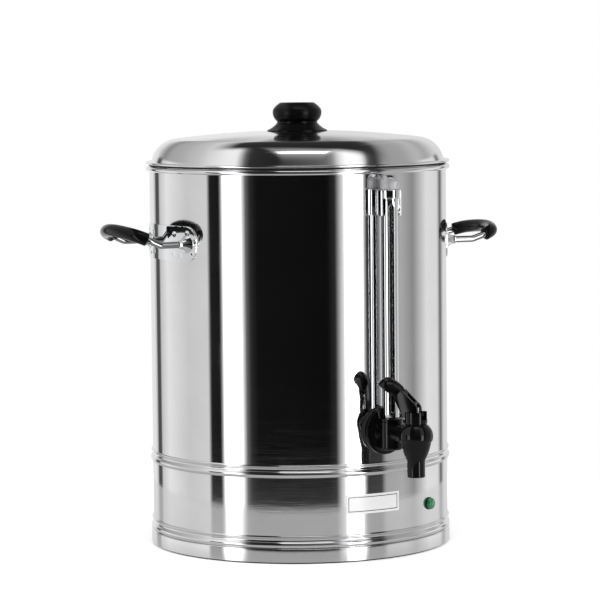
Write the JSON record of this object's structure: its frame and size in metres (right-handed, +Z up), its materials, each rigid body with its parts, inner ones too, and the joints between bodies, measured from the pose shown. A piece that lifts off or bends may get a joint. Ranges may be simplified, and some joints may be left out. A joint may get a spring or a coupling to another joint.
{
  "type": "coffee urn",
  "caption": "Tall round steel percolator urn on a beaded heated base, with a lift-off lid, side handles, a guarded sight gauge, a lever tap, and a pump and basket inside.",
  "frame": {"origin": "on the vessel's axis, on the surface that the urn stands on", "axes": "+Z up; the tap points towards -Y, and the power inlet is at +Y"},
  "size_m": [0.4055, 0.3681, 0.4336],
  "materials": {
    "polished_steel": "mirror polished",
    "steel_sheet": "satin",
    "chrome": "plated",
    "black_moulding": "moulded",
    "rubber": "matte",
    "glass": "clear",
    "aluminium": "cast",
    "element_sheath": "oxidised",
    "ceramic_white": "matte",
    "green_lens": "translucent"
  },
  "bodies": {
    "urn": {"tank": "polished_steel", "base_shell": "polished_steel", "bottom_plate": "steel_sheet", "bottom_screws": "chrome", "foot_ring": "rubber", "left_handle_plate": "chrome", "left_handle_bosses": "chrome", "left_handle_rod": "chrome", "left_handle_grip": "black_moulding", "right_handle_plate": "chrome", "right_handle_bosses": "chrome", "right_handle_rod": "chrome", "right_handle_grip": "black_moulding", "gauge_glass": "glass", "gauge_guard": "chrome", "gauge_cap": "chrome", "gauge_clip": "chrome", "gauge_seals": "rubber", "tap_shank": "black_moulding", "shank_gaskets": "rubber", "shank_nut": "black_moulding", "tap_body": "black_moulding", "tap_bonnet": "black_moulding", "tap_spring": "steel_sheet", "heater_plate": "aluminium", "heater_element": "element_sheath", "heater_clamp": "steel_sheet", "heater_nut": "chrome", "thermostat": "ceramic_white", "thermal_cutout": "ceramic_white", "terminal_block": "ceramic_white", "power_inlet": "black_moulding", "inlet_pins": "chrome", "inlet_screws": "chrome", "switch_housing": "black_moulding", "lamp_lens": "green_lens", "lamp_body": "black_moulding", "lamp_nut": "ceramic_white"},
    "stem": {"valve_stem": "chrome", "seat_cup": "rubber", "lever_pin": "chrome"},
    "lever": {"tap_lever": "black_moulding"},
    "pump": {"pump_tube": "steel_sheet", "pump_foot": "steel_sheet"},
    "basket": {"basket": "steel_sheet"},
    "basket_cover": {"basket_cover": "steel_sheet"},
    "lid": {"lid": "polished_steel", "lid_knob": "black_moulding", "knob_screw": "chrome", "knob_washer": "rubber"},
    "rocker": {"switch_rocker": "black_moulding"}
  },
  "joints": [
    {"name": "stem_lift", "type": "slide", "parent": "urn", "child": "stem", "axis": [0, 0, 1], "range_m": [0, 0.00301], "stiffness_N_per_m": 100, "springref_m": -0.004, "deforming": ["tap_spring"]},
    {"name": "lever_press", "type": "hinge", "parent": "stem", "child": "lever", "pos_m": [0, -0.2005, 0.147], "axis": [-0.8387, -0.5446, 0], "range_deg": [0, 35], "stiffness_Nm_per_rad": 0.002, "springref_deg": -20.05},
    {"name": "pump_lift", "type": "slide", "parent": "urn", "child": "pump", "axis": [0, 0, 1], "range_m": [0, 0.3]},
    {"name": "basket_lift", "type": "slide", "parent": "pump", "child": "basket", "axis": [0, 0, 1], "range_m": [0, 0.13]},
    {"name": "cover_lift", "type": "slide", "parent": "basket", "child": "basket_cover", "axis": [0, 0, 1], "range_m": [0, 0.05]},
    {"name": "lid_lift", "type": "slide", "parent": "basket_cover", "child": "lid", "axis": [0, 0, 1], "range_m": [0, 0.12]},
    {"name": "rocker_tilt", "type": "hinge", "parent": "urn", "child": "rocker", "pos_m": [-0.05488, 0.13583, 0.05], "axis": [-0.9272, -0.3746, 0], "range_deg": [0, 20]}
  ],
  "couplings": [
    {"joint": "lever_press", "follows": "stem_lift", "rad_per_m": 203.14}
  ]
}
